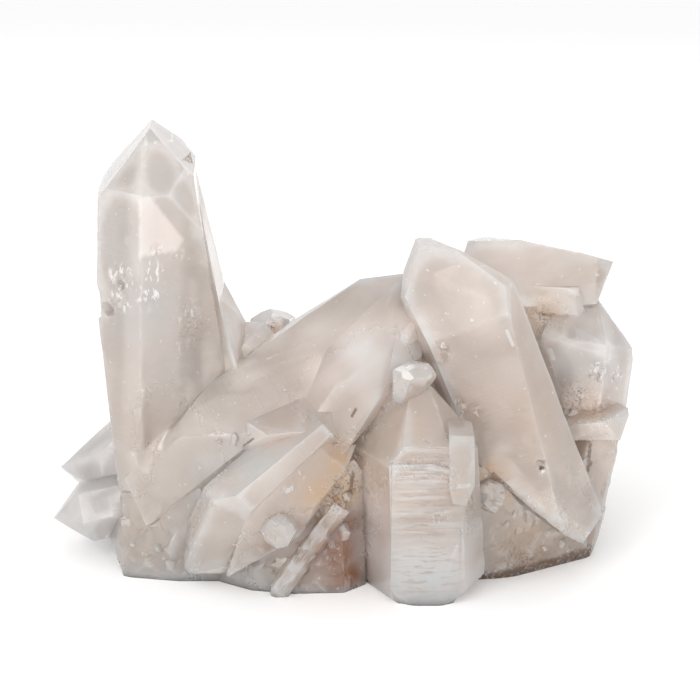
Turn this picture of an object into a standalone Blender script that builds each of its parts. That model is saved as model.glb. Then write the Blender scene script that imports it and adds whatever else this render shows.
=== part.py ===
"""A cluster of milky quartz crystals on a broken foot of massive quartz.

The crystals grew through one another, so the whole specimen is one solid. Most are built the way quartz
grows: a six-sided prism closed by six point faces that lean about 38 degrees from the prism faces below
them. Broken and crowded growths are blocks with flat breaks between named corners. The specimen is cut
off flat underneath and stands on that cut.
All sizes are millimetres: X to the right, Y to the back, Z up from the flat cut. The display side faces
the front and slightly up.
"""

import math
import random

import bmesh
import bpy
from mathutils import Vector

MM = 0.001
POINT_LEAN = 38.2
DISPLAY_SIDE = Vector((0, -math.cos(math.radians(18)), math.sin(math.radians(18))))
BLOCK = 400
WELD = 0.000002


def clear_scene():
    for obj in list(bpy.data.objects):
        bpy.data.objects.remove(obj, do_unlink=True)


def quartz_material():
    material = bpy.data.materials.new("milky_quartz")
    material.use_nodes = True
    shader = material.node_tree.nodes["Principled BSDF"]
    shader.inputs["Base Color"].default_value = (0.60, 0.53, 0.48, 1)
    shader.inputs["Roughness"].default_value = 0.3
    shader.inputs["Metallic"].default_value = 0
    shader.inputs["IOR"].default_value = 1.544
    return material


def cut_by(planes):
    """The convex block left of a big cube when all outside each (point, normal) plane is cut away."""
    body = bmesh.new()
    bmesh.ops.create_cube(body, size=BLOCK)
    for point, normal in planes:
        everything = body.verts[:] + body.edges[:] + body.faces[:]
        cut = bmesh.ops.bisect_plane(
            body, geom=everything, dist=1e-5, plane_co=point, plane_no=normal, clear_outer=True
        )
        rim = [part for part in cut["geom_cut"] if isinstance(part, bmesh.types.BMEdge)]
        if rim:
            bmesh.ops.edgeloop_fill(body, edges=rim)
    bmesh.ops.recalc_face_normals(body, faces=body.faces[:])
    return body


def add_body(group, name, body):
    """Turn a bmesh in millimetres into a hidden helper object in metres."""
    mesh = bpy.data.meshes.new(name)
    bmesh.ops.scale(body, vec=(MM, MM, MM), verts=body.verts[:])
    body.to_mesh(mesh)
    body.free()
    obj = bpy.data.objects.new(name, mesh)
    obj.hide_render = True
    obj.display_type = "WIRE"
    group.objects.link(obj)
    return obj


class Axes:
    """A crystal's own directions: along it, and round it from the side turned to the display side."""

    def __init__(self, foot, tip):
        self.foot = Vector(foot)
        self.tip = Vector(tip)
        self.along = (self.tip - self.foot).normalized()
        self.front = (DISPLAY_SIDE - DISPLAY_SIDE.dot(self.along) * self.along).normalized()
        self.across = self.along.cross(self.front)

    def outward(self, turn, lean=0):
        """The direction at turn degrees round the crystal, leaning lean degrees towards its tip."""
        round_it = math.radians(turn)
        up = math.radians(lean)
        side = math.cos(round_it) * self.front + math.sin(round_it) * self.across
        return math.cos(up) * side + math.sin(up) * self.along


def crystal(
    group, name, foot, tip, sides, twist=0, tapers=(0,) * 6, drops=(0,) * 6, leans=(POINT_LEAN,) * 6,
    facets=(), breaks=(),
):
    """A six-sided quartz crystal from foot to tip.

    sides are the distances of the six prism faces from the axis at the foot, starting at the face turned
    to the display side and going round; tapers lean those faces in. drops lower the six point faces below
    the tip and leans are their slopes. facets are extra faces, each (turn, lean, depth), whose plane lies
    depth inside the tip; breaks are flat fractures, each (point, normal)."""
    axes = Axes(foot, tip)
    planes = [(axes.foot, -axes.along)]
    for face in range(6):
        turn = twist + 60 * face
        side = axes.foot + sides[face] * axes.outward(turn)
        planes.append((side, axes.outward(turn, tapers[face])))
        shoulder = axes.tip - drops[face] * axes.along
        planes.append((shoulder, axes.outward(turn, leans[face])))
    for turn, lean, depth in facets:
        outward = axes.outward(turn, lean)
        planes.append((axes.tip - depth * outward, outward))
    for point, normal in breaks:
        planes.append((Vector(point), Vector(normal).normalized()))
    return add_body(group, name, cut_by(planes))


def chunk(group, name, corners):
    """A broken block of quartz: flat faces stretched between its corners."""
    body = bmesh.new()
    for corner in corners:
        body.verts.new(corner)
    hull = bmesh.ops.convex_hull(body, input=body.verts[:])
    inside = [part for part in hull["geom_interior"] if isinstance(part, bmesh.types.BMVert)]
    bmesh.ops.delete(body, geom=inside, context="VERTS")
    bmesh.ops.recalc_face_normals(body, faces=body.faces[:])
    return add_body(group, name, body)


def knob(group, name, centre, radii, seed, cuts=26):
    """A small rounded lump with many little flats."""
    pick = random.Random(seed)
    middle = Vector(centre)
    planes = []
    for _ in range(cuts):
        outward = Vector([pick.gauss(0, 1) for _ in range(3)]).normalized()
        reach = math.sqrt(sum((radius * part) ** 2 for radius, part in zip(radii, outward)))
        planes.append((middle + outward * reach * pick.uniform(0.86, 1), outward))
    return add_body(group, name, cut_by(planes))


def sprouts(group, name, seats, size, length, aim, spread, seed):
    """Little crystals that stand on the seats and point roughly along aim."""
    pick = random.Random(seed)
    for number, seat in enumerate(seats):
        foot = Vector(seat)
        scatter = Vector([pick.gauss(0, spread) for _ in range(3)])
        direction = (Vector(aim).normalized() + scatter).normalized()
        reach = length * pick.uniform(0.6, 1.25)
        radius = size * pick.uniform(0.6, 1.2)
        sides = [radius * pick.uniform(0.8, 1.2) for _ in range(6)]
        drops = [radius * pick.uniform(0, 0.8) for _ in range(6)]
        crystal(
            group, f"{name}_{number}", foot - direction * 3, foot + direction * reach, sides,
            twist=pick.uniform(0, 60), drops=drops,
        )


def grow_tall_point(group):
    """The tall point on the left with its rib, shoulder and heel of parallel growth."""
    crystal(
        group, "tall_point", foot=(-54.2, 6.3, 5), tip=(-47.1, 0.6, 120.5), twist=35,
        sides=(18.6, 27.4, 13, 14, 14.6, 21), tapers=(0, 10.7, 0, 0.7, 0.2, -0.4),
        drops=(-0.5, 9, -8, 4, 3.8, -5.5), leans=(41.7, 45, 42.5, 38, 37.6, 40.5),
        facets=((57.8, 18.5, -7.2),), breaks=(((-63, -13, 65), (-0.998, 0, -0.066)),),
    )
    chunk(group, "tall_rib", (
        (-40.3, 3, 105.5), (-37.2, 2, 93), (-34.5, 3, 79.5), (-33, 4, 72.5),
        (-36.8, -6, 88), (-34.8, -7, 77), (-32.6, -6, 64), (-32, -3, 40),
        (-41, 10, 100), (-35.5, 12, 80), (-33.5, 12, 60), (-31, 6, 40), (-45, 4, 40), (-45, 4, 100),
    ))
    chunk(group, "tall_shoulder", (
        (-34.4, 6, 73.4), (-31, 5, 66.5), (-27.4, 5, 60), (-24, 8, 50), (-24, 8, 30),
        (-34, -6, 70), (-31.4, -8, 60), (-28.6, -8, 50), (-27, -7, 34),
        (-36, 18, 66), (-28, 18, 50), (-28, 18, 30), (-44, 6, 74), (-44, 6, 30),
    ))
    chunk(group, "shoulder_saddle", (
        (-27.6, 6, 59.6), (-22.4, 8, 58.6), (-19, 8, 54), (-27.4, -2, 56), (-22, 0, 52), (-18, 2, 46),
        (-34, -4, 48), (-30, -4, 34), (-18, 0, 34), (-30, 18, 50), (-18, 18, 50), (-24, 18, 30),
    ))
    crystal(
        group, "tall_heel", foot=(-50, 6, 4), tip=(-45.5, 2.5, 90), twist=35,
        sides=(16, 10, 13, 13, 10, 10), drops=(2, 4, 2, 2, 9, 9),
    )
    crystal(
        group, "back_button", foot=(-18, 12, 30), tip=(-21.3, 17.5, 60.6), twist=15,
        sides=(5.2, 5.5, 5, 5, 5.5, 5.5), leans=(62,) * 6, drops=(0, 1, 0, 1, 0, 0.6),
    )


def grow_long_slab(group):
    """The long broken crystal that crosses the middle, and the two points on its left end."""
    chunk(group, "slab_crest", (
        (-58, -17, 24.5), (-47, -17, 35.5), (-36, -8.5, 47.5), (-15.2, 4, 60.3), (2.6, 5, 71.5),
        (9.5, 5, 72.2), (24, 6, 74),
        (-52, -23, 14), (-31, -21, 37.5), (-21.5, -23, 39.4), (-10, -18, 46), (-5, -11, 57.8),
        (8, -7, 66.3), (18, -8, 68), (-50, 10, 0), (20, 10, 20), (24, 18, 60), (-30, 16, 30),
        (-15, 16, 48), (0, -12, 20),
    ))
    chunk(group, "slab_band", (
        (-24, -14, 40), (-5.1, -11, 58.2), (3.1, -9, 62.9), (7.7, -7, 66.3), (12.5, -3, 73.6),
        (22, -4, 72),
        (-20, -20, 39), (-3.8, -21, 51), (2.5, -20, 54.6), (9.5, -17, 58.3),
        (-15, -29, 36), (-7.5, -30, 34), (-1.2, -28, 35.8), (7, -24, 48.2), (14, -16, 50),
        (-10, 4, 30), (20, 6, 50), (22, 6, 70),
    ))
    chunk(group, "slab_wedge", (
        (12.8, -6, 69), (18, -14, 56.4), (14, -18.5, 54.2), (9.6, -20.5, 51), (10.5, -18.5, 58.4),
        (20, -4, 60), (16, 0, 70), (12, 0, 50),
    ))
    crystal(
        group, "low_left_tip", foot=(-44, -8.5, 18.5), tip=(-78.6, -10, 10.3), twist=12,
        sides=(7.5, 6.5, 6.5, 8, 7.5, 7.5), drops=(0, 0.5, 0, 1, 0.5, 0),
    )
    crystal(
        group, "high_left_tip", foot=(-44, 5, 19), tip=(-78.3, 5, 18.7), twist=-6,
        sides=(10, 12, 11, 10, 10, 9),
    )
    chunk(group, "left_foot", (
        (-63, -14, 7), (-61, -18, 5), (-58.5, -22, 3.8), (-58, -24, -1),
        (-43.6, -26.6, -1), (-46.2, -27, 9.5), (-59.2, -16, 19.9), (-48.7, -21, 19.7), (-38, -23, 24),
        (-62, 0, -1), (-40, 10, -1), (-60, 0, 20), (-40, 0, 30), (-30, -26.5, -1), (-30, -26, 10),
    ))


def grow_front_left(group):
    """The point that lies in front on the left and comes down to the cut, with its knob."""
    crystal(
        group, "front_left_point", foot=(-5, -15.9, 35.6), tip=(-42.8, -30.9, 3.8), twist=-4.4,
        sides=(16.8, 13, 8.2, 11, 7.1, 6.8), tapers=(0.3, -2.5, 0.5, 0, 0, -0.5),
        drops=(3.1, 1.3, 0, 0, 0, 0.6),
    )
    knob(group, "side_knob", centre=(-18, -36, 19.4), radii=(5.2, 2.6, 3.5), seed=11)
    chunk(group, "side_web", (
        (-8.5, -32.3, 40), (1.5, -25.5, 37), (-1, -29, 31.8), (-24.6, -38.8, 26.2),
        (-9.4, -32.5, 30.4), (-8.9, -33.2, 23.2), (-12.9, -34.2, 15.8),
        (-21.1, -36, 12.8), (-30.2, -36.5, 6.2), (-31, -34, 5),
        (-4, -12, 40), (-2, -12, 24), (-26, -16, 8), (-26, -14, 26),
    ))
    chunk(group, "slab_skirt", (
        (-9.8, -30.6, 42.4), (-14, -29.4, 41.9), (-20.6, -27, 40.2), (-27.1, -24.3, 35),
        (-12.4, -18.6, 47), (0, -19, 48.3), (1, -26.4, 38), (-26, -21, 41.5), (-20, -12, 40), (0, -12, 38),
    ))
    crystal(
        group, "pale_needle", foot=(-2.5, -29.5, 22.5), tip=(-19.9, -34.6, -1.5), twist=10,
        sides=(2.8, 2.4, 2.6, 2.6, 2.4, 2.8),
    )


def grow_front_column(group):
    """The upright column in front, with the plate on its face, the tab on its side and the knob on top."""
    crystal(
        group, "front_column", foot=(17, -23.9, -6), tip=(15.9, -22.2, 59), twist=-2.4,
        sides=(15.7, 18.7, 12.5, 14, 14.1, 13), tapers=(1.2, 2.1, 3.4, 0.6, -0.9, 0.4),
        drops=(2, 0, 3.9, 0, 0.2, 1.5), leans=(41.9, 38.9, 36.1, 38.2, 36.3, 30),
        breaks=(((6, -33, 1.5), (-0.55, -0.35, -0.76)), ((31.5, -34, 3.5), (0.6, -0.3, -0.74))),
    )
    chunk(group, "column_plate", (
        (10.2, -38.6, 36.8), (12, -38.6, 36.2), (20, -38.6, 37), (26.2, -38.3, 35.2), (27, -38.2, 32.5),
        (10, -39.9, 4.5), (27.2, -39.5, 5.5), (12.6, -38.7, -1), (17, -40.5, -1), (22, -40.5, -1),
        (25.6, -38.6, -1), (10, -34, 37), (27, -34, 36), (10, -34, -1), (27, -34, -1),
    ))
    knob(group, "column_knob", centre=(15.8, -25, 55.3), radii=(5.6, 4.6, 3), seed=5)
    chunk(group, "column_tab", (
        (23.8, -40, 45), (30.3, -35.5, 43), (30.6, -35.5, 30), (28.2, -38.5, 26), (25, -40.5, 27.4),
        (24, -40.5, 31.4),
        (24, -28, 46), (30, -28, 44), (30, -28, 30), (25, -28, 28),
    ))


def grow_leaning_point(group):
    """The big leaning point right of the middle."""
    crystal(
        group, "leaning_point", foot=(54, -16, 2.4), tip=(17.7, -8, 90.5), twist=-16,
        sides=(13.6, 11.5, 14.2, 14, 10.5, 12.2), tapers=(4.6, -3.5, 1.1, 0.6, 0.6, 0.7),
        drops=(0, 1.3, 3, 0, -1.1, 2), leans=(16, 37.7, 34, 38, 38, 38),
        breaks=(
            ((50, -24, 17), (-0.62, 0, -0.785)), ((61.5, -15, 9.5), (0.72, -0.15, -0.68)),
            ((19, -8, 84.4), (0.05, -0.1, 1)),
        ),
    )
    knob(group, "gap_knob", centre=(35.5, -24.5, 23), radii=(3.6, 3.2, 4.5), seed=8)


def grow_right_side(group):
    """The broken crystals behind and to the right."""
    chunk(group, "back_slab", (
        (31, 12, 80), (45, 13, 79.9), (61, 14, 76.3), (69.8, 13, 74), (67.3, 10, 69.8), (65, 7, 64),
        (53, 3, 64), (40, 0, 66), (27, 2, 70), (36.5, 22, 78.6), (50, 25, 76), (66, 24, 70),
        (64, 26, 56), (40, 26, 55), (25, 20, 60),
    ))
    chunk(group, "right_block", (
        (53.2, 3, 62.8), (49.8, -1, 58.3), (53.7, -2, 51), (57.4, -3, 36), (65.1, -4, 36), (73.6, 4, 36),
        (75.4, 7, 48.5), (75.1, 8, 51.6), (65.7, 10, 64.6), (64.7, 3, 60.9), (66.4, -3, 55.9),
        (66.4, -4, 53),
        (68.8, 26, 59.6), (74, 24, 45.8), (72, 24, 31), (58.3, 28, 53.3), (60, 26, 33), (50, 10, 40),
    ))
    chunk(group, "pocket_floor", (
        (40, 3, 45), (58, 1, 48), (60, 4, 69), (42, 5, 70), (40, 24, 45), (60, 24, 48),
        (60, 22, 68), (42, 22, 69),
    ))
    chunk(group, "right_ledge", (
        (58.2, -10, 36.4), (65.5, -11, 37.9), (73.1, -2, 38.2), (70.9, 2, 38.4), (54.2, 1, 38.8),
        (55.8, -9, 35.5),
        (58.6, -9, 31.9), (70.8, -6, 30.7), (73.3, -3, 36.6), (58.9, 15, 33), (71, 15, 33), (52, 0, 28),
    ))
    chunk(group, "right_foot", (
        (62.9, -6, 32), (71.1, -4, 32), (68.5, -5, 16.1), (67.4, -6, 7.9), (65.6, -9, 3.5),
        (62.9, -12.2, -1),
        (60, -10, 22), (70, 18, 31), (66, 22, -1), (50, 0, -1), (50, 10, 31), (68, 16, 12),
    ))
    chunk(group, "base_right", (
        (31, -26, -1), (38.6, -25, -1), (42, -24, -1), (48, -19.5, -1), (62.7, -12.4, -1),
        (31, -23.5, 31), (36, -23, 29),
        (43, -23.2, 20), (52, -20, 12), (62, -13.5, 9), (64, 0, -1), (64, 0, 10), (40, 10, -1),
        (40, 0, 30),
    ))


def grow_base(group):
    """The broken foot between and behind the crystals."""
    chunk(group, "base_front", (
        (-34, -26.6, -1), (-32, -25, 9), (-25, -32, -1), (-14, -34, -1), (-1.5, -33.4, -1), (4, -28.5, -1),
        (-24, -31.5, 6), (-13, -31.5, 15), (-8, -30.5, 22), (-2, -30.6, 20), (3.5, -26, 18), (3, -25.6, 30),
        (1, -25.5, 33), (-9, -28.5, 29), (-3, -20, 36), (-12, -20, 30), (-25, 0, -1), (5, 0, -1),
        (0, 0, 34),
    ))
    chunk(group, "base_back", (
        (-48, 12, -1), (-34, 28, -1), (8, 34, -1), (44, 30, -1), (60, 14, -1), (-42, 12, 20),
        (-28, 22, 22),
        (16, 26, 24), (46, 18, 28), (54, 12, 36), (20, 16, 48), (-12, 12, 40), (-30, -16, -1),
        (50, -8, -1),
        (20, -8, 40), (-20, -8, 30),
    ))
    lumps = (
        ("lump_1", (-36, 20, 7), (17, 16, 17)),
        ("lump_2", (-10, 28, 9), (19, 15, 19)),
        ("lump_3", (20, 26, 8), (18, 17, 20)),
        ("lump_4", (47, 19, 9), (17, 18, 22)),
        ("lump_5", (8, 18, 30), (17, 13, 16)),
        ("lump_6", (-22, 14, 27), (13, 11, 14)),
        ("lump_7", (40, 17, 36), (16, 13, 16)),
    )
    for number, (name, centre, radii) in enumerate(lumps):
        knob(group, name, centre, radii, seed=40 + number, cuts=38)


def grow_back(group):
    """The crystals that point backwards."""
    crystal(
        group, "back_point_1", foot=(-12, 8, 14), tip=(-31, 49, 40), twist=12,
        sides=(9, 8, 9, 8.5, 8, 9), drops=(1, 0, 2, 0, 1, 3),
    )
    crystal(
        group, "back_point_2", foot=(14, 6, 16), tip=(36, 48, 58), twist=-9,
        sides=(11, 10, 10, 11, 10, 9), drops=(0, 3, 0, 1, 4, 0),
    )
    crystal(
        group, "back_point_3", foot=(2, 6, 10), tip=(6, 54, 20), twist=25,
        sides=(9, 10, 9, 9, 8, 10), drops=(2, 0, 0, 2, 0, 1),
    )
    crystal(
        group, "back_point_4", foot=(-32, 4, 8), tip=(-58, 41, 29), twist=4,
        sides=(8, 9, 8, 8, 9, 8), drops=(0, 2, 0, 0, 3, 1),
    )
    crystal(
        group, "back_point_5", foot=(42, 8, 10), tip=(67, 43, 27), twist=-17,
        sides=(9, 9, 10, 9, 8, 9), drops=(0, 1, 3, 0, 1, 0),
    )
    crystal(
        group, "back_point_6", foot=(-4, 6, 20), tip=(-3, 37, 52), twist=8,
        sides=(7, 8, 7, 7, 8, 7), drops=(1, 0, 0, 2, 0, 0),
    )
    crystal(
        group, "back_point_7", foot=(-40, 8, 18), tip=(-45, 31, 66), twist=20,
        sides=(8, 7, 8, 8, 7, 8), drops=(0, 2, 1, 0, 2, 0),
    )
    crystal(
        group, "back_point_8", foot=(-20, 10, 4), tip=(-41, 47, 11), twist=-12,
        sides=(7, 6, 7, 7.5, 6.5, 7), drops=(0, 1, 2, 0, 1, 0),
    )
    crystal(
        group, "back_point_9", foot=(22, 12, 8), tip=(39, 51, 17), twist=31,
        sides=(7, 8, 7, 7, 8, 7.5), drops=(1, 0, 0, 2, 0, 1),
    )
    crystal(
        group, "back_point_10", foot=(48, 8, 22), tip=(59, 37, 49), twist=2,
        sides=(7, 7, 6, 7, 7.5, 6.5), drops=(0, 2, 0, 1, 0, 0),
    )
    crystal(
        group, "back_point_11", foot=(6, 14, 22), tip=(14, 44, 41), twist=17,
        sides=(5.5, 6, 5.5, 6, 5, 6), drops=(0, 0, 1, 0, 2, 0),
    )


def grow_druse(group):
    """Small crystals in the crevices, and larger young ones on the back of the foot."""
    crevice = (
        (-29, -22, 38.5), (-25, -23, 39), (-19, -24, 40), (-14, -27, 41), (-9, -28, 38), (-33, -21, 36),
    )
    aim = (-0.2, -0.5, 0.9)
    sprouts(group, "crevice_druse", crevice, size=0.8, length=1.5, aim=aim, spread=0.4, seed=21)
    gap = ((-4, -29.6, 24), (-1, -29, 25), (-3, -30.5, 20.5), (-6, -30.4, 22), (-1.5, -31, 17), (-8, -30.6, 20))
    sprouts(group, "gap_druse", gap, size=1.2, length=2, aim=(-0.1, -0.8, 0.5), spread=0.45, seed=4)
    ledge = ((56.5, -4, 38.5), (59, -5, 38.5), (61, -3, 38.5), (58, -2, 39), (64, -5, 38.3))
    sprouts(group, "ledge_druse", ledge, size=1.1, length=1.5, aim=(0, -0.4, 1), spread=0.4, seed=9)
    foot = ((-56, -22, 8), (-53, -24, 6), (-49, -26, 9), (-57, -19, 14), (-51, -23, 14), (-46, -26, 5))
    sprouts(group, "foot_druse", foot, size=1.8, length=2.2, aim=(-0.5, -0.8, 0.4), spread=0.35, seed=31)
    right = ((36, -23, 9), (41, -24, 6), (46, -21, 8), (50, -20, 6), (40, -23, 14), (55, -17, 7))
    sprouts(group, "right_druse", right, size=1.7, length=2.2, aim=(0.2, -0.9, 0.3), spread=0.4, seed=17)
    back = (
        (-46, 26, 7), (-24, 33, 9), (-24, 36, 4), (-16, 36, 22), (2, 38, 14), (4, 40, 5), (30, 38, 5),
        (34, 34, 20), (55, 28, 8), (58, 18, 22), (-48, 18, 15), (22, 32, 28), (26, 26, 38), (-26, 22, 32),
    )
    sprouts(group, "back_druse", back, size=3.4, length=6, aim=(0, 0.9, 0.55), spread=0.45, seed=12)


def carve_pits(group):
    """Negative crystals: pits left where small neighbours fell out, and the waist on the tall point."""
    pits = (
        ("pit_1", (-58, -20.5, 76.2), (-56, -16.2, 76), 1.8, 0),
        ("pit_2", (-47.5, -21, 79.2), (-49, -17.8, 79), 1.5, 22),
        ("pit_3", (-49.4, -21.5, 72), (-50.8, -17.6, 72.4), 1.7, 9),
        ("pit_4", (-61.5, -17.5, 69.5), (-59, -13.5, 69), 1.8, 40),
        ("pit_5", (47.3, -28, 32.3), (48.3, -24.2, 32.2), 1.3, 12),
    )
    for name, mouth, bottom, reach, twist in pits:
        crystal(
            group, name, mouth, bottom, (reach, 1.3 * reach, 0.8 * reach, reach, 1.1 * reach, 0.85 * reach),
            twist=twist, drops=(0, 0.3, 0.1, 0.4, 0.2, 0.5),
        )
    chunk(group, "waist", (
        (-68, -26, 84), (-64.4, -26, 80.6), (-61.7, -26, 73.6), (-61.5, -26, 67.5),
        (-63, -26, 65.7), (-68, -26, 64),
        (-68, 20, 84), (-67.5, 20, 80.6), (-65, 20, 73.6), (-64.8, 20, 67.5), (-66.2, 20, 65.7),
        (-68, 20, 64),
    ))


def join(grown, pits):
    """Fuse everything that grew together into one solid and cut it off flat underneath."""
    seed = bpy.data.objects["base_back"]
    mesh = seed.data.copy()
    mesh.name = "quartz_cluster"
    mesh.materials.append(quartz_material())
    cluster = bpy.data.objects.new("quartz_cluster", mesh)
    bpy.context.scene.collection.objects.link(cluster)
    grown.objects.unlink(seed)
    bpy.data.objects.remove(seed, do_unlink=True)

    fuse = cluster.modifiers.new("fuse", "BOOLEAN")
    fuse.operation = "UNION"
    fuse.solver = "EXACT"
    fuse.operand_type = "COLLECTION"
    fuse.collection = grown

    carve = cluster.modifiers.new("carve_pits", "BOOLEAN")
    carve.operation = "DIFFERENCE"
    carve.solver = "EXACT"
    carve.operand_type = "COLLECTION"
    carve.collection = pits

    body = bmesh.new()
    bmesh.ops.create_cube(body, size=BLOCK)
    bmesh.ops.translate(body, vec=(0, 0, -BLOCK / 2), verts=body.verts[:])
    under = add_body(bpy.context.scene.collection, "cut_under", body)
    cut = cluster.modifiers.new("cut_flat", "BOOLEAN")
    cut.operation = "DIFFERENCE"
    cut.solver = "EXACT"
    cut.object = under

    weld = cluster.modifiers.new("weld", "WELD")
    weld.merge_threshold = WELD
    return cluster


def build():
    clear_scene()
    scene = bpy.context.scene
    grown = bpy.data.collections.new("grown_together")
    scene.collection.children.link(grown)
    grow_tall_point(grown)
    grow_long_slab(grown)
    grow_front_left(grown)
    grow_front_column(grown)
    grow_leaning_point(grown)
    grow_right_side(grown)
    grow_base(grown)
    grow_back(grown)
    grow_druse(grown)
    pits = bpy.data.collections.new("pits")
    scene.collection.children.link(pits)
    carve_pits(pits)
    join(grown, pits)


build()
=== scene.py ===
import itertools
import math

import bmesh
import bpy
import numpy as np
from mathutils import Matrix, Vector


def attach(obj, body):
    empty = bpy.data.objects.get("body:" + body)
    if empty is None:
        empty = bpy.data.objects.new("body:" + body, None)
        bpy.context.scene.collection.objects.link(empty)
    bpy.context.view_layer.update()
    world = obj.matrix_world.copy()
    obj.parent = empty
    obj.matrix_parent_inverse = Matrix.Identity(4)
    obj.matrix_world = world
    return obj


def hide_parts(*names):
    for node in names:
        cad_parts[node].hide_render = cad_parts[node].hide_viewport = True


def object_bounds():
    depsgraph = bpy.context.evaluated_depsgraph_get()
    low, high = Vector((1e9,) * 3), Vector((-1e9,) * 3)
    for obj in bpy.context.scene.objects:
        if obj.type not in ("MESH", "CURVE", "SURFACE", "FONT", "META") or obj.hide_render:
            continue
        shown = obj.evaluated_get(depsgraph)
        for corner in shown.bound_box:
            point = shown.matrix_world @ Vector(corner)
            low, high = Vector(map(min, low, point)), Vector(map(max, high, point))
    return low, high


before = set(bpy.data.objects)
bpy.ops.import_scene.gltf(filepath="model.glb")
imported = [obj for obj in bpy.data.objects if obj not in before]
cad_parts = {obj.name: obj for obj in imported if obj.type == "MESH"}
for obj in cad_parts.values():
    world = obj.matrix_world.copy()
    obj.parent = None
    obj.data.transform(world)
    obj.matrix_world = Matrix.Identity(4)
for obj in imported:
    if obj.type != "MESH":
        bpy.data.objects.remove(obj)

cad_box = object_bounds()
# Shapes are worked out in mm; the meshes are in metres.
MM = 0.001

# ---------------------------------------------------------------------------------------------------
# The cluster: milky quartz crystals that grew through one another on a broken foot of the same quartz.
# It is one piece. Each crystal is a six-sided prism closed by six leaning point faces; the foot is
# where the group was broken from its rock, and the underside is sawn flat so that it stands.


def joined(node):
    """The corner points (mm) and triangles of a CAD node: its loose triangles are joined at the corners
    they share, flat neighbours are made one face, and the faces are cut into even triangles again."""
    body = bmesh.new()
    body.from_mesh(node.data)
    bmesh.ops.remove_doubles(body, verts=body.verts[:], dist=3e-6)
    bmesh.ops.dissolve_limit(
        body, angle_limit=math.radians(0.3), use_dissolve_boundaries=False,
        verts=body.verts[:], edges=body.edges[:],
    )
    bmesh.ops.triangulate(body, faces=body.faces[:], quad_method="BEAUTY", ngon_method="BEAUTY")
    mesh = bpy.data.meshes.new("joined")
    body.to_mesh(mesh)
    body.free()
    points = np.empty(3 * len(mesh.vertices))
    mesh.vertices.foreach_get("co", points)
    corners = np.empty(len(mesh.loops), int)
    mesh.loops.foreach_get("vertex_index", corners)
    bpy.data.meshes.remove(mesh)
    return points.reshape(-1, 3) / MM, corners.reshape(-1, 3)


def halve(points, triangles, reach):
    """Splits every edge that is longer than reach(middle of the edge) at its middle, again and again.
    A triangle with one, two or three split edges becomes two, three or four triangles."""
    while True:
        sides = np.sort(triangles[:, [[0, 1], [1, 2], [2, 0]]], axis=2)
        edges, where = np.unique(sides.reshape(-1, 2), axis=0, return_inverse=True)
        where = where.reshape(-1, 3)
        ends = points[edges]
        middles = ends.mean(axis=1)
        split = np.linalg.norm(ends[:, 0] - ends[:, 1], axis=1) > reach(middles)
        if not split.any():
            return points, triangles
        new = np.full(len(edges), -1)
        new[split] = len(points) + np.arange(split.sum())
        points = np.vstack([points, middles[split]])
        cut = new[where]
        number = (cut >= 0).sum(axis=1)
        parts = [triangles[number == 0]]
        first_cut = np.argmax(cut >= 0, axis=1)
        after_whole = np.argmin(cut >= 0, axis=1) + 1
        turn = first_cut * (number == 1) + after_whole * (number == 2)
        order = (turn[:, None] + np.arange(3)) % 3
        a, b, c = np.take_along_axis(triangles, order, axis=1).T
        ab, bc, ca = np.take_along_axis(cut, order, axis=1).T
        one, two, three = number == 1, number == 2, number == 3
        parts.append(np.stack([a, ab, c], 1)[one])
        parts.append(np.stack([ab, b, c], 1)[one])
        parts.append(np.stack([ab, b, bc], 1)[two])
        gap_1 = np.linalg.norm(points[a] - points[bc], axis=1)
        gap_2 = np.linalg.norm(points[ab] - points[c], axis=1)
        near, far = two & (gap_1 <= gap_2), two & (gap_1 > gap_2)
        parts.append(np.stack([a, ab, bc], 1)[near])
        parts.append(np.stack([a, bc, c], 1)[near])
        parts.append(np.stack([a, ab, c], 1)[far])
        parts.append(np.stack([ab, bc, c], 1)[far])
        parts.append(np.stack([a, ab, ca], 1)[three])
        parts.append(np.stack([ab, b, bc], 1)[three])
        parts.append(np.stack([ca, bc, c], 1)[three])
        parts.append(np.stack([ab, bc, ca], 1)[three])
        triangles = np.vstack(parts)


def face_normals(points, triangles):
    """Twice the area of each triangle as a vector, which is the cross product of two of its sides."""
    a, b, c = points[triangles].transpose(1, 0, 2)
    return np.cross(b - a, c - a)


def unit(vectors):
    """The vectors, each divided by its length."""
    return vectors / np.maximum(np.linalg.norm(vectors, axis=1, keepdims=True), 1e-12)


def point_normals(points, triangles):
    """Each point's normal: the sum of its triangles' area vectors, made one unit long."""
    total = np.zeros_like(points)
    area = face_normals(points, triangles)
    for corner in range(3):
        np.add.at(total, triangles[:, corner], area)
    return unit(total)


def settled(points, triangles, times):
    """The points after each has moved half way to the mean of its neighbours, this many times over."""
    sides = np.unique(np.sort(triangles[:, [[0, 1], [1, 2], [2, 0]]], axis=2).reshape(-1, 2), axis=0)
    start, end = np.vstack([sides, sides[:, ::-1]]).T
    share = 1 / np.bincount(start, minlength=len(points))
    for _ in range(times):
        mean = [np.bincount(start, points[end, axis], len(points)) * share for axis in range(3)]
        points = 0.5 * (points + np.stack(mean, 1))
    return points


def chance(cells, seed):
    """A random number from 0 to 1 for each whole-number cell, from a mix of its three coordinates."""
    mix = (cells[..., 0] * 73856093) ^ (cells[..., 1] * 19349663) ^ (cells[..., 2] * 83492791)
    mix = (mix + seed * 2654435761) & 0xFFFFFFFF
    mix = ((mix ^ (mix >> 16)) * 0x45D9F3B) & 0xFFFFFFFF
    mix = ((mix ^ (mix >> 16)) * 0x45D9F3B) & 0xFFFFFFFF
    return ((mix ^ (mix >> 16)) & 0xFFFFFF) / 0xFFFFFF


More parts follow.
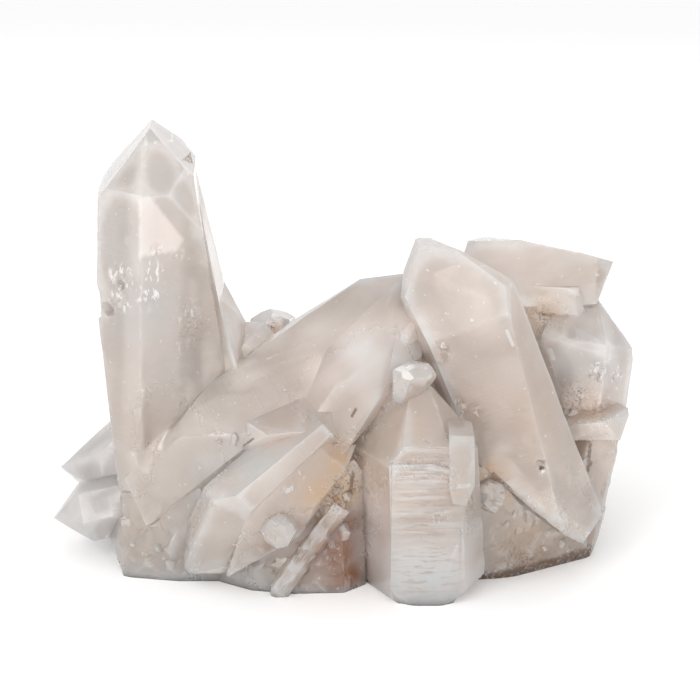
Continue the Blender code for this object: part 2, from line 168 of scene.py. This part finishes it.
def swell(points, size, seed):
    """Smooth noise from -1 to 1: random values on a lattice of cells of this size, blended between the
    eight corners of a cell by the smooth step of the place in the cell."""
    place = points / size
    low = np.floor(place).astype(np.int64)
    step = place - low
    step = step * step * (3 - 2 * step)
    total = np.zeros(len(points))
    for corner in itertools.product((0, 1), repeat=3):
        share = np.prod(np.where(corner, step, 1 - step), axis=1)
        total += share * chance(low + np.array(corner), seed)
    return 2 * total - 1


def chips(points, size, seed):
    """Broken flats from about -1 to 1: space is shared out between random seats, one in each cell of this
    size, and near a seat the height is a plane through it that leans a random way."""
    place = points / size
    low = np.floor(place).astype(np.int64)
    nearest = np.full(len(points), 1e9)
    height = np.zeros(len(points))
    for shift in itertools.product((-1, 0, 1), repeat=3):
        cell = low + np.array(shift)
        seat = cell + np.stack([chance(cell, seed + k) for k in range(3)], 1)
        away = place - seat
        distance = np.linalg.norm(away, axis=1)
        lean = np.stack([chance(cell, seed + 3 + k) for k in range(3)], 1) * 2 - 1
        level = chance(cell, seed + 6) * 1.2 - 0.6
        closer = distance < nearest
        nearest = np.where(closer, distance, nearest)
        height = np.where(closer, np.sum(away * lean, axis=1) + level, height)
    return height


def ball(points, places):
    """How strongly a point is inside any of the soft balls (x, y, z, radius, strength): the strength at a
    ball's middle falls as a bell curve, to a third of it at the radius."""
    total = np.zeros(len(points))
    for x, y, z, radius, strength in places:
        away = np.sum((points - (x, y, z)) ** 2, axis=1) / radius ** 2
        total = np.maximum(total, strength * np.exp(-1.1 * away))
    return total


def patch(points, corners):
    """1 inside an outline and 0 outside it, with a soft edge 0.8 mm wide. The outline is given by its
    corners (x, z), clockwise as seen from the front."""
    inside = np.full(len(points), 1e9)
    for (x0, z0), (x1, z1) in zip(corners, corners[1:] + corners[:1]):
        across = (points[:, 0] - x0) * (z1 - z0) - (points[:, 2] - z0) * (x1 - x0)
        away = across / math.hypot(x1 - x0, z1 - z0)
        inside = np.minimum(inside, away)
    return ramp(inside, -0.4, 0.4)


def ramp(value, low, high):
    """0 below low, 1 above high and a smooth step between."""
    part = np.clip((value - low) / (high - low), 0, 1)
    return part * part * (3 - 2 * part)


# Every place below is a soft ball: x, y, z and radius in mm, and its strength.
# Where growth stopped unevenly and left small pits and slanting chips, which sparkle; the material also
# paints white glints there.
pitted = (
    (-56.4, -17.6, 78, 4.5, 1), (-57.2, -17.2, 72.5, 3.8, 1), (-48.8, -19.3, 80, 3.2, 1),
    (-49, -19, 75, 4, 1), (-47.2, -18.7, 85.4, 2.4, 0.9), (-42.5, -15.5, 83.5, 3.2, 0.5),
    (-40.6, -12, 67, 6, 0.55), (-41.5, -12.7, 59, 5.5, 0.5), (23, -18, 59.3, 3.2, 0.9),
    (27, -20.3, 45, 3, 0.8), (32, -21.4, 44.2, 2, 0.7), (48, -26, 31, 2.4, 0.7), (53, -22, 22, 5, 0.4),
    (64.2, -3.8, 48.8, 3.6, 0.9), (70, 0.5, 46.5, 3.2, 0.9), (22, -39.2, 23.7, 2.8, 0.8),
    (-14.7, -35.1, 28.8, 2.6, 0.7), (-12.3, -34, 32.4, 2.2, 0.6), (-34, -35, 25, 2.2, 0.8),
    (13.5, -28.8, 54, 3.5, 0.5), (-17.2, -38, 21.5, 2.6, 0.5), (-4, -32, 10, 8, 0.45),
    (59, -3, 41.5, 4, 0.6),
)
# The faces near the tip of the tall point, which show small steps.
fine_faces = ((-45, -14, 95, 9, 1),)
# The front of the short upright crystal, which is crossed by growth shelves.
striped = ((19, -39.5, 36, 9, 1), (19, -39.5, 24, 10, 1), (19, -39.5, 10, 10, 1))


def fine_reach(middles):
    """Short edges where the surface is seen, shorter ones where it is pitted or striped, and longer ones
    on the back and under the foot."""
    seen = 1.7
    longer_behind = 0.5 * ramp(middles[:, 1], 14, 30)
    detail = np.maximum(ball(middles, pitted), 0.7 * ball(middles, striped + fine_faces))
    shorter = 1 - 0.45 * ramp(detail, 0.25, 0.45)
    under = middles[:, 2] < 0.05
    return np.where(under, 4, seen * shorter + longer_behind)


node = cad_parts["quartz_cluster"]
points, triangles = joined(node)
points, triangles = halve(points, triangles, fine_reach)
normals = point_normals(points, triangles)

# The crystals' own directions (foot, tip and radius): growth lines run round each prism, square to its
# length.
crystals = (
    ((-54.2, 6.3, 5), (-47.1, 0.6, 120.5), 19),
    ((-56, -14, 14), (16, -10, 70), 15),
    ((-44, -8.5, 18.5), (-78.6, -10, 10.3), 8),
    ((-44, 5, 19), (-78.3, 5, 18.7), 11),
    ((-5, -15.9, 35.6), (-42.8, -30.9, 3.8), 13),
    ((17, -23.9, -6), (15.9, -22.2, 59), 15),
    ((54, -16, 2.4), (17.7, -8, 90.5), 13),
    ((60, 14, 30), (50, 16, 78), 16),
)


def nearest_crystal(points):
    """For each point, the distance along the crystal whose axis it is nearest to, counted in that
    crystal's radii, and that crystal's direction."""
    best = np.full(len(points), 1e9)
    along = np.zeros(len(points))
    direction = np.zeros((len(points), 3))
    for foot, tip, radius in crystals:
        line = np.array(tip, float) - foot
        length = np.linalg.norm(line)
        line = line / length
        reach = (points - foot) @ line
        held = np.clip(reach, 0, length)
        away = np.linalg.norm(points - foot - held[:, None] * line, axis=1) / radius
        closer = away < best
        best = np.where(closer, away, best)
        along = np.where(closer, reach, along)
        direction = np.where(closer[:, None], line, direction)
    return along, direction


along, direction = nearest_crystal(points)
# 1 on the long sides of the crystals and 0 on their point faces.
prism = 1 - ramp(np.abs(np.sum(normals * direction, axis=1)), 0.15, 0.4)

# Where the quartz is broken and not bounded by crystal faces.
broken = ball(points, (
    (-12, -32, 8, 14, 1), (-50, -24, 8, 13, 0.8), (44, -22, 8, 14, 1), (62, -8, 20, 12, 0.7),
    (62, -6, 36, 8, 0.4), (62, -2, 50, 12, 0.12), (51, 4, 62, 5, 0.7), (-40, 30, 12, 22, 0.8),
    (0, 40, 15, 34, 0.8), (45, 32, 18, 28, 0.8), (2, -22, 24, 9, 0.7), (0, -8, 4, 60, 0.1),
))
# How far each point is raised: chips on broken quartz, a slow swell all over, and flats on the prisms.
height = 0.55 * broken * chips(points, 5.2, 11) + 0.28 * broken * chips(points, 2.6, 31)
height += 0.13 * swell(points, 9, 3) + 0.06 * swell(points, 4.2, 4)
height += 0.045 * prism * chips(points * (1, 1, 2.2), 7, 51)
etched = ball(points, pitted)
height += 0.42 * ramp(etched, 0.2, 0.8) * chips(points, 1.9, 71) - 0.15 * ramp(etched, 0.3, 1)
# Growth steps cross the front of the short column: each is a shelf that slopes back to the next one.
front = ramp(-normals[:, 1], 0.85, 0.95) * ball(points, striped)
shelf_height = 2.4
turn = points[:, 2] / shelf_height + 0.35 * swell(points * (0.5, 1, 1), 4, 81)
height -= front * (turn - np.floor(turn)) * (0.14 + 0.14 * swell(points * (0.4, 1, 1), 5, 82))
# The sawn underside stays flat.
height = np.where(points[:, 2] < 0.3, 0, height)
moved = points + normals * height[:, None]
# The long ridge of the tall point is worn round, and so are the lip under the back slab and the small
# crystal beside the column; the others keep their edges.
worn = ball(points, (
    (-50.5, -20, 78, 7, 1), (-50, -19.5, 68, 7, 1), (-50, -19, 58, 7, 1), (-50, -18.5, 48, 7, 1),
    (-50, -18, 38, 8, 1), (-50, -18, 30, 8, 1), (51, 3.4, 65.5, 4.5, 1), (55, 3.8, 65.5, 4.5, 1),
    (59.5, 3.6, 65.5, 5, 1), (62.5, 3.6, 65.5, 4, 1), (35.7, -27.3, 24.5, 4, 1),
))
moved += (settled(moved, triangles, 40) - moved) * ramp(worn, 0.3, 0.8)[:, None]
# Nothing reaches past the solid's box or leaves the plane it stands on.
low, high = np.array(cad_box[0]) / MM, np.array(cad_box[1]) / MM
moved = np.clip(moved, low, high)
moved[:, 2] = np.where(points[:, 2] < 1e-3, 0, moved[:, 2])

# Valleys come out positive and ridges negative, in mm that the settled surface lies above the real one.
valley = np.sum((settled(moved, triangles, 30) - moved) * normals, axis=1)
gorge = np.sum((settled(moved, triangles, 200) - moved) * normals, axis=1)


def build_mesh(name, points, triangles):
    """A mesh of these points (mm) and triangles."""
    mesh = bpy.data.meshes.new(name)
    mesh.from_pydata((points * MM).tolist(), [], triangles.tolist())
    mesh.validate()
    mesh.update()
    return mesh


def store(mesh, name, values):
    """Keeps one number for each point of the mesh, for the material to read."""
    layer = mesh.attributes.new(name, "FLOAT", "POINT")
    layer.data.foreach_set("value", np.asarray(values, dtype=np.float32))


mesh = build_mesh("quartz", moved, triangles)
mesh.shade_smooth()
mesh.set_sharp_from_angle(angle=math.radians(17))
store(mesh, "along", along)
store(mesh, "prism", prism)
store(mesh, "broken", broken)
# How deep each gap lies, which the material paints paler as painted light.
store(mesh, "gorge", ramp(gorge, 0, 1.5))
# How sharp each ridge is, which the material paints paler as painted highlights along the edges.
store(mesh, "ridge", ramp(-valley, 0.12, 0.5))
store(mesh, "etched", etched)
# What colours the quartz, with some painted light and shade among the tints. Each tint has its colour, its
# strength and the places it fills.
tints = {
    # Clear, empty quartz, which looks grey, and painted shade, strongest on the small crystals at the far
    # left.
    "grey_and_painted_shade": ((0.56, 0.535, 0.525, 1), 0.9, (
        (-58, -16, 88, 15, 1), (-50, -18, 70, 15, 1), (-45, -16, 54, 13, 0.8), (-46, -16, 100, 12, 0.8),
        (-70, -12, 13, 14, 2.2), (-70, -2, 22, 14, 2), (-50, -24, 10, 14, 0.9), (64, -3, 50, 12, 1.2),
        (66, -7, 18, 9, 0.8), (60, 7, 64, 6, 0.8), (-36, -22, 28, 10, 0.6), (30, -36, 18, 6, 0.7),
        (-22, -25.6, 40.4, 6, 1.5), (62, -2, 57, 6, 0.9),
    )),
    # Quartz clouded by tiny bubbles, and painted light that brightens places lying in shade, such as the
    # lower front of the short upright crystal.
    "milk_and_painted_light": ((1.0, 0.91, 0.88, 1), 0.9, (
        (-31, -35, 27, 3, 0.5), (14, -13, 60, 7, 1), (2, -15, 60, 9, 1), (-6, -18, 54, 8, 0.6),
        (-10, -6, 62, 8, 0.7), (-20, 0, 58, 8, 0.6), (-29, -4, 62, 7, 0.6), (-20, 11, 57, 8, 1.3),
        (18, -40, 6, 14, 1.3), (5, -31, 10, 8, 0.9), (6, -32, 24, 8, 0.9), (18, -40, 26, 12, 0.3),
        (58, -25, 19, 7, 0.4), (-13, -35, 12, 6, 0.9), (-22, -30, 36, 8, 0.8), (-5, -30.7, 23, 2.2, 1),
        (10, 2, 70, 8, 0.5), (42, 9, 76, 10, 0.4), (6, -18, 56, 9, 0.8),
    )),
    # Quartz warmed by a trace of iron.
    "peach": ((0.74, 0.57, 0.46, 1), 0.7, (
        (46, -22, 42, 14, 0.7), (-12, -31, 24, 9, 0.4), (-13, -34, 11, 7, 0.8), (12, -32, 44, 9, 0.8),
        (8, -33, 30, 9, 0.7), (62, -8, 37, 9, 1.6), (36, -27, 23, 5, 1), (66, -9, 34, 6, 1.2),
        (-17.5, -37, 16, 3.5, 1.8), (25, -40.5, 28, 5, 0.9), (-18, -25, 43, 8, 0.8),
        (-10, -16, 44, 9, 0.5), (32, -20, 48, 10, 0.6), (-20, 10, 55, 5, 0.4), (65, -8, 21, 8, 0.6),
        (22, -15, 50, 8, 0.5), (-25, -20, 44, 7, 0.5),
    )),
    # Stained quartz in the gaps between crystals.
    "beige": ((0.74, 0.48, 0.26, 1), 0.95, (
        (-2, -29, 33, 6, 1), (-7, -32, 27, 6, 0.9), (-2, -29.5, 26.5, 4.5, 1.6), (36, -23, 28, 4, 0.9),
        (46, -22, 10, 12, 0.4), (50.5, 3.5, 62.5, 5, 0.5), (-52, -24, 12, 10, 0.3),
        (39, -25, 22, 4, 0.6),
    )),
    # Brown and violet stained foot.
    "mauve": ((0.38, 0.17, 0.09, 1), 0.95, (
        (-4, -32, 11, 7, 1.3), (-2, -31, 3, 7, 1.2), (-9, -33, 2, 5, 0.8), (0, -30, 17, 4, 0.9),
        (46, -23, 3, 8, 0.3), (60, -14, 6, 7, 0.3),
    )),
    # Iron rust in the crevices.
    "rust": ((0.42, 0.24, 0.13, 1), 0.8, (
        (-8.7, -31, 19.8, 2.2, 0.9), (-12, -34, 18.5, 1.8, 0.8), (-20, -36.5, 13.5, 1.8, 0.9),
        (36, -23.5, 27, 2.2, 0.7), (-20.1, 11.4, 56.4, 2.4, 0.9), (52.8, 3.4, 63, 1.8, 0.8),
        (62.5, -8, 26, 1.8, 0.7), (42, -24, 1, 4, 0.7), (50, -20, 1, 4, 0.7),
    )),
}
# Faces near the tip of the tall point, (x, z): a painted highlight on the pale one, and painted shade on
# the duller ones above it.
outlines = {
    "milk_and_painted_light": (((-50.9, 99.2), (-48.3, 99.4), (-41, 86.9), (-43, 84.2), (-51.4, 84.4)), 0.75),
    "grey_and_painted_shade": (((-48.3, 108), (-43.4, 109), (-39.8, 104.5), (-38.2, 95.7), (-46.3, 104.6)), 0.5),
}
facing = ramp(-normals[:, 1], 0.2, 0.4)
on_tall_point = points[:, 0] < -30
for name, (_, _, places) in tints.items():
    amount = ball(points, places)
    if name in outlines:
        corners, extra = outlines[name]
        amount = np.maximum(amount, extra * facing * patch(points, list(corners)) * on_tall_point)
    if name == "milk_and_painted_light":
        # The upper face of the front-left point, which faces up to the left towards the light, is painted
        # pale all over: painted light.
        slope = ramp(normals @ (-0.49, -0.32, 0.81), 0.85, 0.93)
        amount = np.maximum(amount, 1.1 * slope * ball(points, ((-23, -31, 35, 16, 1),)))
    store(mesh, name, amount)
store(mesh, "striped", front)
# Faces that are frosted, and so shine less than the others.
store(mesh, "frosted", np.clip(ball(points, (
    (-1.5, -21.5, 51, 9, 1.2), (6, -19, 55.8, 8, 1.2), (-70, -15, 16.5, 9, 1.4), (-69, -1.5, 22.7, 9, 1),
    (-40.6, -21.3, 28.5, 8, 1), (-47, -18, 40, 8, 0.6), (18, -40, 8, 14, 0.7), (18, -39, 24, 11, 0.5),
)), 0, 1))
# Soil left in the crevices and along the broken lower edge.
store(mesh, "dirt", ball(points, (
    (44, -23, 0.2, 2.4, 0.9), (60, -14, 1, 2.4, 0.9), (-0.4, -28.5, 25.4, 1.2, 0.9),
    (51.5, 3.6, 62.6, 1.6, 0.9), (48, -26, 31, 1.1, 1), (62.6, -8, 25, 1.4, 0.9),
)))
# Where dark mineral grains sit in the quartz.
store(mesh, "specks", ball(points, (
    (59.5, -3.6, 42, 3.6, 1), (-20.6, 11, 56.8, 2, 1), (-1.6, -28, 27.5, 4, 1.3),
    (-3.8, -30, 24, 3.4, 1.2), (0, -27, 30, 2.4, 1), (50.5, 3.5, 62, 3, 0.9),
    (36.5, -23.5, 26.5, 2.4, 0.8), (62.5, -8, 27, 2, 0.8), (44, -23, 2.5, 6, 0.7), (-40, -12, 63, 5, 0.3),
)))
cluster = bpy.data.objects.new("crystal_cluster", mesh)
bpy.context.scene.collection.objects.link(cluster)


class Sock:
    """A node's output that can be added, multiplied and taken away from a number as in plain arithmetic."""

    def __init__(self, tree, socket):
        self.tree = tree
        self.socket = socket

    def sum(self, operation, first, second):
        """Adds the Math node that does this operation."""
        return self.tree.node("ShaderNodeMath", {"operation": operation}, (first, second))

    def __add__(self, other):
        return self.sum("ADD", self, other)

    def __radd__(self, other):
        return self.sum("ADD", other, self)

    def __rsub__(self, other):
        return self.sum("SUBTRACT", other, self)

    def __mul__(self, other):
        return self.sum("MULTIPLY", self, other)

    def __rmul__(self, other):
        return self.sum("MULTIPLY", other, self)

    def smooth(self, low, high):
        """0 below low, 1 above high, a smooth step between."""
        return self.tree.node(
            "ShaderNodeMapRange", {"interpolation_type": "SMOOTHSTEP"}, (self, low, high, 0, 1)
        )


class Finish:
    """A material whose nodes are made by one method."""

    def __init__(self, name):
        self.material = bpy.data.materials.new(name)
        self.material.use_nodes = True
        self.nodes = self.material.node_tree.nodes
        self.links = self.material.node_tree.links
        self.shader = self.nodes["Principled BSDF"]

    def plug(self, socket, value):
        """Links or writes the value into the socket."""
        if isinstance(value, Sock):
            self.links.new(value.socket, socket)
        elif value is not None:
            socket.default_value = value

    def node(self, kind, settings=None, values=(), output=0):
        """Makes a node, sets its settings, then fills its sockets in order (or by name)."""
        made = self.nodes.new(kind)
        for name, value in (settings or {}).items():
            setattr(made, name, value)
        given = values.items() if isinstance(values, dict) else enumerate(values)
        for key, value in given:
            self.plug(made.inputs[key], value)
        return Sock(self, made.outputs[output])

    def mix(self, share, first, second):
        """The colour that goes from first to second as share goes from 0 to 1."""
        return self.node(
            "ShaderNodeMix", {"data_type": "RGBA"}, {0: share, 6: first, 7: second}, output=2
        )

    def layer(self, name):
        """The number that the mesh keeps under this name."""
        return self.node("ShaderNodeAttribute", {"attribute_name": name}, output=2)

    def noise(self, place, scale, detail=3, roughness=0.5, distortion=0):
        """Cloudy noise about 0.5, with this many waves in a metre."""
        values = {"Vector": place, "Scale": scale, "Detail": detail, "Roughness": roughness}
        values["Distortion"] = distortion
        return self.node("ShaderNodeTexNoise", {}, values)

    def cells(self, place, scale):
        """The distance to the nearest of many random seats, this many in a metre."""
        return self.node("ShaderNodeTexVoronoi", {}, {"Vector": place, "Scale": scale})

    def stroke(self, place, start, end, width):
        """1 on the line from start to end (mm), 0 beyond this distance from it. A point's distance is
        taken to the nearest point of the line, and depth counts a third, so that lines keep to faces."""
        flat = MM * Vector((1, 0.33, 1))
        start, end = Vector(start) * flat, Vector(end) * flat
        line = end - start
        away = self.vector("SUBTRACT", self.vector("MULTIPLY", place, (1, 0.33, 1)), start)
        share = self.vector("DOT_PRODUCT", away, line / line.length_squared, output=1)
        share = self.node("ShaderNodeMath", {"operation": "ADD", "use_clamp": True}, (share, 0))
        nearest = self.node("ShaderNodeVectorMath", {"operation": "SCALE"}, {0: line, "Scale": share})
        return self.vector("DISTANCE", away, nearest, output=1).smooth(width * MM, 0.4 * width * MM)

    def strokes(self, place, lines):
        """The strongest of several strokes."""
        total = 0
        for start, end, width in lines:
            total = self.node(
                "ShaderNodeMath", {"operation": "MAXIMUM"}, (self.stroke(place, start, end, width), total)
            )
        return total

    def vector(self, operation, first, second, output=0):
        """Adds the Vector Math node that does this operation."""
        return self.node("ShaderNodeVectorMath", {"operation": operation}, (first, second), output)

    def set(self, **values):
        """Fills the shader's sockets, named with underscores for spaces."""
        for name, value in values.items():
            self.plug(self.shader.inputs[name.replace("_", " ")], value)


quartz = Finish("milky_quartz")
place = quartz.node("ShaderNodeTexCoord", output=3)
along_line = quartz.layer("along")
on_prism = quartz.layer("prism")
on_broken = quartz.layer("broken")
frosted = quartz.layer("frosted")
cloud = quartz.noise(place, 60, 4, 0.55, 0.6)
veil = quartz.noise(place, 170, 5, 0.62, 1.2)
grain = quartz.noise(place, 900, 3, 0.6)

# The quartz itself, from clouded to clearer, with painted light in the deep gaps, which makes them paler.
colour = quartz.mix(cloud.smooth(0.32, 0.68), (0.62, 0.525, 0.46, 1), (0.70, 0.625, 0.565, 1))
colour = quartz.mix(quartz.layer("gorge") * 0.8, colour, (0.80, 0.72, 0.65, 1))
for name, (tint, strength, _) in tints.items():
    colour = quartz.mix(quartz.layer(name) * (0.6 + 0.8 * cloud) * strength, colour, tint)
# Thin veils of bubbles; pale ridges, which are painted highlights along the edges and partly worn white;
# and white flecks in the pits, which are painted glints.
colour = quartz.mix(veil.smooth(0.55, 0.72) * 0.06, colour, (0.84, 0.80, 0.78, 1))
colour = quartz.mix(quartz.layer("ridge") * veil * 0.8, colour, (0.93, 0.91, 0.90, 1))
upright = quartz.vector("MULTIPLY", place, (1, 1, 0.5))
painted_glints = quartz.layer("etched").smooth(0.2, 0.7) * quartz.noise(upright, 800, 3, 0.6).smooth(0.55, 0.62)
colour = quartz.mix(painted_glints * 0.8, colour, (1, 1, 1, 1))
# Soil and dark grains.
soil = quartz.layer("dirt") * (0.35 + grain) * 1.4
colour = quartz.mix(soil.smooth(0.5, 1), colour, (0.12, 0.08, 0.05, 1))
speck = quartz.layer("specks") * quartz.noise(place, 1500, 2, 0.5).smooth(0.54, 0.60)
colour = quartz.mix(speck * 0.9, colour, (0.10, 0.06, 0.04, 1))

# Fine growth lines across the crystals' sides.
lines = quartz.node(
    "ShaderNodeTexNoise", {"noise_dimensions": "1D"},
    {"W": along_line + 0.5 * quartz.noise(place, 120, 2), "Scale": 1.6, "Detail": 3, "Roughness": 0.65},
)
# Bright lines, mostly painted highlights along lit edges and one painted glint, with some worn edges and
# healed cracks: start, end (mm) and width.
edge_highlights_and_cracks = quartz.strokes(place, (
    ((-50.3, -10, 112.8), (-49.8, -11.4, 110.2), 0.5), ((-47.8, -10, 110.3), (-44.9, 1.9, 108.4), 0.5),
    ((-44.9, 1.9, 108.4), (-45.3, 8.4, 109.2), 0.5), ((21.8, -17, 54.5), (28.5, -18, 40), 1.8),
    ((38.8, -20.9, 65.3), (40.3, -21.5, 61.9), 0.6), ((52.1, -1.6, 54.1), (52.9, -1.8, 52), 0.9),
    ((10.4, -38.5, 36.6), (17, -38.5, 36.3), 0.6), ((17, -38.5, 36.3), (23.5, -38.5, 35), 0.7),
    ((24.4, -39.7, 9.9), (26.3, -39.2, 15.6), 0.6), ((26.4, -39.5, 31.5), (29, -37, 31), 0.7),
))
# A dark needle in the long crystal, dark lines along crevices, and the stained lower edge at the right.
dark_lines = quartz.strokes(place, (
    ((0.5, -25.5, 44.6), (1.5, -24.7, 46.2), 0.5), ((-27, -23.9, 35.8), (-24.2, -24.8, 38.3), 0.35),
    ((0.8, -26.6, 29.6), (0.2, -28, 25.8), 0.6), ((36.1, -23.7, 28.6), (41, -25.1, 24.5), 0.5),
    ((62.9, -6.6, 30.1), (62.2, -9, 23.2), 0.7), ((33, -26.5, 0.3), (45, -22.9, 0.8), 2.6),
    ((45, -22.9, 0.8), (55.1, -17, 1.2), 2.4), ((55.1, -17, 1.2), (63, -12, 1.3), 2.8),
))
colour = quartz.mix(edge_highlights_and_cracks * (0.3 + 0.7 * veil), colour, (1, 1, 1, 1))
colour = quartz.mix(dark_lines * grain.smooth(0.3, 0.5), colour, (0.20, 0.10, 0.045, 1))
# Small white flecks all over.
white_flecks = quartz.noise(place, 620, 2, 0.5).smooth(0.70, 0.74)
colour = quartz.mix(white_flecks * 0.5, colour, (1, 1, 1, 1))
# Pale shelves and torn, darker streaks across the front of the short upright crystal.
striped_front = quartz.layer("striped")
steps = quartz.node(
    "ShaderNodeTexNoise", {"noise_dimensions": "1D"},
    {"W": along_line + 1.2 * quartz.noise(place, 70, 2), "Scale": 0.5, "Detail": 2, "Roughness": 0.7},
)
shelf = striped_front * steps.smooth(0.47, 0.54) * cloud.smooth(0.25, 0.5)
colour = quartz.mix(shelf * 0.6, colour, (0.95, 0.93, 0.93, 1))
level = quartz.vector("MULTIPLY", place, (0.7, 1, 5))
dashes = quartz.noise(level, 230, 3, 0.6, 0.3).smooth(0.53, 0.60) * striped_front
colour = quartz.mix(dashes * 0.7, colour, (0.62, 0.53, 0.48, 1))
relief = (
    -0.35 * dashes
    + 0.5 * striped_front * steps
    + 0.10 * on_prism * lines
    + 0.05 * quartz.noise(place, 420, 4, 0.6)
    + 0.04 * on_broken * quartz.cells(place, 620)
    + 0.02 * grain
)
bump = quartz.node("ShaderNodeBump", {}, {"Strength": 0.6, "Distance": 0.001, "Height": relief})
quartz.set(
    Base_Color=colour, Coat_Weight=1 - 0.85 * frosted, Coat_Roughness=0.03, Metallic=0, IOR=1.544,
    Roughness=0.12 + 0.2 * veil + 0.2 * on_broken + 0.3 * frosted,
    Subsurface_Weight=1, Subsurface_Radius=(1, 1, 1), Subsurface_Scale=0.012,
    Transmission_Weight=0.54, Normal=bump,
)
mesh.materials.append(quartz.material)
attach(cluster, "root")
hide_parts("quartz_cluster")

# ---------------------------------------------------------------------------------------------------
# The floor: a plain matt pale sheet that the cluster stands on.
# It is far wider than the view, so no edge of it shows.

floor_half = 3.0
floor_mesh = bpy.data.meshes.new("floor")
floor_mesh.from_pydata(
    [(-floor_half, -floor_half, 0), (floor_half, -floor_half, 0), (floor_half, floor_half, 0),
     (-floor_half, floor_half, 0)], [], [(0, 1, 2, 3)],
)
floor = bpy.data.objects.new("floor", floor_mesh)
bpy.context.scene.collection.objects.link(floor)
sheet = Finish("pale_floor")
sheet.set(Base_Color=(0.95, 0.95, 0.95, 1), Roughness=0.9)
floor_mesh.materials.append(sheet.material)

# ---------------------------------------------------------------------------------------------------
# The light: a bright even room with one soft box above on the left, three wide dim ones in front and at
# the sides, and one high behind that lights the edges. All are plain white.


def soft_box(name, at, towards, width, depth, watts):
    """A flat lamp of this size (m) and power that faces the given place."""
    lamp = bpy.data.lights.new(name, "AREA")
    lamp.shape = "RECTANGLE"
    lamp.size = width
    lamp.size_y = depth
    lamp.energy = watts
    box = bpy.data.objects.new(name, lamp)
    box.location = at
    box.rotation_euler = (Vector(towards) - Vector(at)).to_track_quat("-Z", "Y").to_euler()
    bpy.context.scene.collection.objects.link(box)


world = bpy.data.worlds.new("room")
world.use_nodes = True
world.node_tree.nodes["Background"].inputs["Color"].default_value = (1, 1, 1, 1)
world.node_tree.nodes["Background"].inputs["Strength"].default_value = 1
bpy.context.scene.world = world
soft_box("key", (-0.42, -0.5, 0.55), (0, 0, 0.05), 0.36, 0.36, 1.7)
soft_box("left", (-0.7, -0.75, 0.35), (0, 0, 0.04), 1, 0.6, 1.2)
soft_box("front", (0, -0.95, 0.2), (0, 0, 0.04), 1.4, 0.5, 1.8)
soft_box("right", (0.75, -0.7, 0.35), (0, 0, 0.04), 1, 0.6, 1.1)
soft_box("rim", (0.15, 0.6, 0.6), (0, 0, 0.06), 0.6, 0.3, 0.9)

# ---------------------------------------------------------------------------------------------------
# The camera: in front and 18 degrees up, 432 mm from the middle of the cluster.
# Its lens is 85 mm long on a film 36 mm wide.

rise = math.radians(18)
aim = Vector((0, 0, 0.0536))
distance = 0.432
camera_data = bpy.data.cameras.new("camera")
camera_data.lens = 85
camera_data.sensor_width = 36
camera = bpy.data.objects.new("camera", camera_data)
camera.location = aim + distance * Vector((0, -math.cos(rise), math.sin(rise)))
camera.rotation_euler = (math.radians(90) - rise, 0, 0)
bpy.context.scene.collection.objects.link(camera)
bpy.context.scene.camera = camera
bpy.context.scene.view_settings.view_transform = "Standard"
